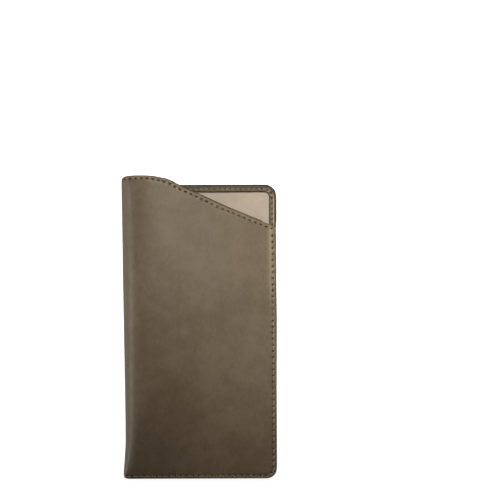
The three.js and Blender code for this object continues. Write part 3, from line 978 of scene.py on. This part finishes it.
# Materials
class Shader:
    """A Principled material with helpers that add and join nodes."""

    def __init__(self, name, roughness=ROUGHNESS_SHARE, specular=SPECULAR_SHARE):
        self.material = bpy.data.materials.new(name)
        self.material.use_nodes = True
        self.tree = self.material.node_tree
        self.shader = self.tree.nodes["Principled BSDF"]
        self.shader.inputs["Roughness"].default_value = roughness
        self.shader.inputs["Specular IOR Level"].default_value = specular
        self.place = self.node("ShaderNodeTexCoord").outputs["Object"]

    def node(self, kind, **settings):
        made = self.tree.nodes.new(kind)
        for key, value in settings.items():
            if key in made.inputs.keys():
                made.inputs[key].default_value = value
            else:
                setattr(made, key, value)
        return made

    def join(self, output, target):
        self.tree.links.new(output, target)

    def stretched(self, scale):
        mapping = self.node("ShaderNodeMapping")
        mapping.inputs["Scale"].default_value = scale
        self.join(self.place, mapping.inputs["Vector"])
        return mapping.outputs["Vector"]

    def noise(self, size, detail, roughness, stretch=None):
        made = self.node("ShaderNodeTexNoise", Scale=1 / (size * MM), Detail=detail, Roughness=roughness)
        self.join(self.stretched(stretch) if stretch else self.place, made.inputs["Vector"])
        return made.outputs["Fac"]

    def cells(self, size):
        """Distance from the edges of the hide's grain."""
        made = self.node("ShaderNodeTexVoronoi", feature="DISTANCE_TO_EDGE", Scale=1 / (size * MM))
        self.join(self.place, made.inputs["Vector"])
        return made.outputs["Distance"]

    def ramp(self, value, low, high, to_low=0, to_high=1):
        made = self.node("ShaderNodeMapRange", interpolation_type="SMOOTHSTEP")
        for key, number in (("From Min", low), ("From Max", high), ("To Min", to_low), ("To Max", to_high)):
            made.inputs[key].default_value = number
        self.join(value, made.inputs["Value"])
        return made.outputs["Result"]

    def math(self, operation, first, second):
        made = self.node("ShaderNodeMath", operation=operation)
        for socket, value in zip(made.inputs, (first, second)):
            if isinstance(value, (int, float)):
                socket.default_value = value
            else:
                self.join(value, socket)
        return made.outputs[0]

    def times(self, first, second):
        return self.math("MULTIPLY", first, second)

    def plus(self, first, second):
        return self.math("ADD", first, second)

    def rest(self, value):
        """1 less the value."""
        return self.math("SUBTRACT", 1, value)

    def blend(self, share, first, second):
        made = self.node("ShaderNodeMix", data_type="RGBA")
        for index, value in zip(MIX_INPUTS, (share, first, second)):
            if isinstance(value, tuple):
                made.inputs[index].default_value = linear(value)
            else:
                self.join(value, made.inputs[index])
        return made.outputs[MIX_OUTPUT]

    def mark(self, name):
        return self.node("ShaderNodeAttribute", attribute_name=name).outputs["Fac"]

    def finish(self, colour, height, bump_depth, strength, roughness=None):
        self.join(colour, self.shader.inputs["Base Color"])
        bump = self.node("ShaderNodeBump", Distance=bump_depth * MM, Strength=strength)
        self.join(height, bump.inputs["Height"])
        self.join(bump.outputs["Normal"], self.shader.inputs["Normal"])
        if roughness is not None:
            self.join(roughness, self.shader.inputs["Roughness"])
        return self.material


def linear_share(share):
    if share <= LINEAR_END:
        return share / LINEAR_SLOPE
    return ((share + CURVE_OFFSET) / (1 + CURVE_OFFSET)) ** CURVE_POWER


def linear(colour):
    """An 8-bit sRGB colour as linear red, green, blue and alpha."""
    return (*[linear_share(level / COLOUR_MOST) for level in colour], 1)


def leather_material(
    name, dark, light, edge_paint_and_painted_light, rim, rim_share, highlight_and_side_tone, highlight_and_side_tone_share,
    grain_size, bump_depth, roughness_shares, highlight_and_side_tone_roughness_share,
):
    """Hide with a fine grain, with painted shade in its creases and pores, and coloured by the marks on its
    points.
    """
    made = Shader(name)
    made.shader.inputs["Specular Tint"].default_value = SPECULAR_TINT
    warp = made.noise(*WARP_NOISE)
    crease = made.ramp(made.cells(grain_size), *CREASE_RAMP)
    pores = made.ramp(made.noise(*PORE_NOISE), *PORE_RAMP)
    mottle = made.noise(*MOTTLE_NOISE)
    broad = made.noise(*BROAD_NOISE)
    tone = made.plus(made.times(mottle, MOTTLE_SHARE), made.times(broad, BROAD_SHARE))
    tone = made.plus(tone, made.times(made.noise(*STREAK_NOISE), STREAK_SHARE))
    colour = made.blend(made.ramp(tone, *TONE_RAMP), dark, light)
    # Painted shade in the grain's creases and pores, darkening them towards the dark colour
    colour = made.blend(made.times(made.rest(crease), CREASE_SHADE_SHARE), colour, edge_paint_and_painted_light)
    colour = made.blend(made.times(pores, PORE_SHADE_SHARE), colour, edge_paint_and_painted_light)
    # Lighter where the third mark says: painted highlights on the leather, and a lighter tone down the
    # facing's sewn side
    colour = made.blend(made.times(made.mark("highlight_and_side_tone"), highlight_and_side_tone_share), colour, highlight_and_side_tone)
    # The second mark: real edge paint on the borders and painted shade along the fold on the leather, and a
    # painted highlight along the facing's outer edge
    colour = made.blend(made.times(made.mark("edge_paint_and_painted_light"), rim_share), colour, rim)
    # Painted shade in the needle holes
    colour = made.blend(made.ramp(made.mark("hole"), *HOLE_RAMP), colour, HOLE_SHADE_COLOUR)
    colour = made.blend(made.ramp(made.mark("edge"), *EDGE_RAMP), colour, edge_paint_and_painted_light)
    grain = made.times(crease, made.ramp(warp, *WARP_RAMP))
    fine = made.times(made.noise(*FINE_NOISE), FINE_SHARE)
    height = made.plus(grain, made.math("SUBTRACT", fine, made.times(pores, PORE_SHARE)))
    flat = made.rest(made.times(made.mark("edge"), EDGE_FLAT_SHARE))
    rough_mottle = made.times(mottle, MOTTLE_ROUGHNESS_SHARE)
    unevenness = made.plus(rough_mottle, made.times(crease, -CREASE_SMOOTH_SHARE))
    roughness = made.ramp(unevenness, *UNEVENNESS_RAMP, *roughness_shares)
    roughness = made.plus(roughness, made.times(made.mark("highlight_and_side_tone"), highlight_and_side_tone_roughness_share))
    rim_mark = made.math("MAXIMUM", made.mark("edge_paint_and_painted_light"), made.mark("edge"))
    roughness = made.plus(roughness, made.times(rim_mark, RIM_ROUGHNESS_SHARE))
    shine = made.times(made.rest(made.times(made.mark("edge"), EDGE_DULL_SHARE)), SPECULAR_SHARE)
    made.join(shine, made.shader.inputs["Specular IOR Level"])
    return made.finish(colour, made.times(height, flat), bump_depth, LEATHER_BUMP_STRENGTH, roughness)


def napped_material():
    made = Shader("napped_lining", *NAP_SHARES)
    made.shader.inputs["Sheen Weight"].default_value = NAP_SHEEN_SHARE
    made.shader.inputs["Sheen Roughness"].default_value = NAP_SHEEN_ROUGHNESS_SHARE
    fibres = made.noise(*NAP_FIBRE_NOISE)
    brushed = made.noise(*NAP_BRUSHED_NOISE)
    broad = made.noise(*NAP_BROAD_NOISE)
    tone = made.plus(made.times(brushed, NAP_BRUSHED_SHARE), made.times(broad, NAP_BROAD_SHARE))
    colour = made.blend(made.ramp(tone, *NAP_TONE_RAMP), NAP_DARK, NAP_LIGHT)
    colour = made.blend(made.ramp(fibres, *NAP_FIBRE_RAMP), colour, NAP_FIBRE)
    return made.finish(colour, made.plus(fibres, made.times(brushed, NAP_HEIGHT_SHARE)), *NAP_BUMP)


def thread_material():
    made = Shader("waxed_thread")
    fibre = made.noise(*THREAD_FIBRE_NOISE)
    tone = made.noise(*THREAD_TONE_NOISE)
    colour = made.blend(made.ramp(tone, *THREAD_TONE_RAMP), THREAD_DARK, THREAD_LIGHT)
    colour = made.blend(made.ramp(fibre, *THREAD_FIBRE_RAMP), colour, THREAD_FIBRE)
    return made.finish(colour, fibre, *THREAD_BUMP)


def board_material():
    made = Shader("fibreboard", *BOARD_SHARES)
    fibre = made.noise(*BOARD_NOISE)
    colour = made.blend(made.ramp(fibre, *BOARD_RAMP), BOARD_DARK, BOARD_LIGHT)
    return made.finish(colour, fibre, *BOARD_BUMP)


def floor_material():
    """A pale floor that glows only where it is seen, so that it lights nothing."""
    made = Shader("pale_floor", *FLOOR_SHARES)
    grain = made.noise(*FLOOR_NOISE)
    colour = made.blend(made.ramp(grain, *FLOOR_RAMP), FLOOR_DARK, FLOOR_LIGHT)
    path = made.node("ShaderNodeLightPath")
    seen = made.math("MAXIMUM", path.outputs["Is Camera Ray"], path.outputs["Is Glossy Ray"])
    seen = made.math("MAXIMUM", seen, path.outputs["Is Transmission Ray"])
    made.shader.inputs["Emission Color"].default_value = WHITE
    made.join(made.times(seen, FLOOR_GLOW), made.shader.inputs["Emission Strength"])
    return made.finish(colour, grain, *FLOOR_BUMP)


materials = {
    "leather": leather_material("satin_leather", **SATIN_LEATHER),
    "facing": leather_material("facing_leather", **FACING_LEATHER),
    "lining": napped_material(),
    "thread": thread_material(),
    "board": board_material(),
}

# Leather, lining and facings
columns = wrapped_columns(PANEL_STEP)
rows = wrapped_rows(PANEL_STEP)
leather_place = wrapped_place(EDGE_ROUND, no_depth, leather_thickness, front_holes, back_holes, SURFACE_WAVE)
leather = closed_sheet(
    "leather_body", columns, rows, leather_place,
    near_any(leather_place, front_holes, back_holes, BAND_REACH), BAND_CUTS,
    materials["leather"],
)
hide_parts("outer_leather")

lining_place = wrapped_place(LINING_INSET, lining_depth, lining_thickness, None, None, 0)
lining = closed_sheet(
    "napped_lining", columns, rows, lining_place,
    nowhere, 0,
    materials["lining"],
)
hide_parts("pocket_lining")
lining_width, lining_length, lining_area = cut_size(lining_place, columns, rows)

rim_place = line_place(
    rim_line(RIM_FACING_INSET, RIM_START, float(mouth_height(CASE_WIDTH))),
    (rim_side_inset, RIM_FACING_WIDTH - RIM_FACING_INSET),
    rim_top, RIM_THICK_EDGE, rim_lowest, rim_holes,
)
rim = closed_sheet(
    "rim_facing_strip", np.array(RIM_STRIP_SHARES), np.linspace(0, 1, RIM_STRIP_ROWS), rim_place,
    near_line(rim_place, rim_holes, BAND_REACH), BAND_CUTS,
    materials["facing"],
)
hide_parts("rim_facing")

mouth_place = line_place(
    mouth_line(0, MOUTH_START, CASE_WIDTH - MOUTH_FACING_END_IN),
    (mouth_edge_offset, MOUTH_FACING_WIDTH),
    mouth_facing_top, MOUTH_THICK_EDGE, mouth_lowest, None,
)
mouth = closed_sheet(
    "mouth_facing_strip", np.array(MOUTH_STRIP_SHARES), np.linspace(0, 1, MOUTH_STRIP_ROWS), mouth_place,
    nowhere, 0,
    materials["facing"],
)
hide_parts("mouth_facing")

for node in ("front_stiffener", "back_stiffener"):
    board = bpy.data.objects[node]
    board.data.materials.clear()
    board.data.materials.append(materials["board"])


def rim_surface(x, y):
    return back_off_table(x, y) + FACING_DEPTH + FACING_THICKNESS


def mouth_underside(x, y):
    return front_height(x, y) - FACING_DEPTH - FACING_THICKNESS


for seam, row, height_at, side in (
    ("side_seam_needle", side_row, top_height, 1),
    ("side_seam_bobbin", side_back_row, back_off_table, -1),
    ("mouth_seam_needle", mouth_row, top_height, 1),
    ("mouth_seam_bobbin", mouth_inside_row, mouth_underside, -1),
    ("rim_seam_needle", rim_row, rim_surface, 1),
    ("rim_seam_bobbin", rim_row, back_off_table, -1),
):
    thread(seam, row, height_at, side)


# Floor, light and camera
def floor():
    """A round floor with a low pale wall far round it, so that no view shows the dark sky."""
    angles = np.linspace(0, 2 * np.pi, WALL_SIDES, endpoint=False)
    ring = [(FLOOR_REACH * np.cos(a), FLOOR_REACH * np.sin(a)) for a in angles]
    points = [(x, y, 0) for x, y in ring] + [(x, y, WALL_HEIGHT) for x, y in ring]
    after = [(k + 1) % WALL_SIDES for k in range(WALL_SIDES)]
    faces = [tuple(range(WALL_SIDES))]
    faces += [(n, k, k + WALL_SIDES, n + WALL_SIDES) for k, n in enumerate(after)]
    mesh = bpy.data.meshes.new("studio_floor")
    mesh.from_pydata(points, [], faces)
    mesh.materials.append(floor_material())
    made = bpy.data.objects.new("studio_floor", mesh)
    made.location.z = -FLOOR_DROP
    bpy.context.scene.collection.objects.link(made)


def lamp(name, size, power, spread, place, aim):
    light = bpy.data.lights.new(name, "AREA")
    light.shape = "RECTANGLE"
    light.size, light.size_y = size
    light.energy = power
    light.spread = np.radians(spread)
    made = bpy.data.objects.new(name, light)
    made.location = place
    made.rotation_euler = (Vector(aim) - Vector(place)).to_track_quat("-Z", "Y").to_euler()
    made.visible_camera = False
    bpy.context.scene.collection.objects.link(made)


def sky():
    world = bpy.data.worlds.new("studio_sky")
    world.use_nodes = True
    background = world.node_tree.nodes["Background"]
    background.inputs["Color"].default_value = WHITE
    background.inputs["Strength"].default_value = SKY_STRENGTH
    bpy.context.scene.world = world


def camera():
    data = bpy.data.cameras.new("photo_camera")
    data.sensor_width = SENSOR_WIDTH
    data.lens = SENSOR_WIDTH * (CAMERA_HEIGHT - VIEW_LEVEL) / (PHOTO_SIDE * PIXEL)
    made = bpy.data.objects.new("photo_camera", data)
    side = (PHOTO_SIDE / 2 - CASE_PIXEL[0]) * PIXEL
    up = (CASE_PIXEL[1] - PHOTO_SIDE / 2) * PIXEL
    made.location = (side, up, CAMERA_HEIGHT)
    made.rotation_euler.z = CAMERA_TURN
    bpy.context.scene.collection.objects.link(made)
    bpy.context.scene.camera = made


floor()
sky()
camera()
lamp("top_softbox", **TOP_SOFTBOX)
lamp("left_strip", **LEFT_STRIP)
bpy.context.scene.view_settings.view_transform = "Standard"
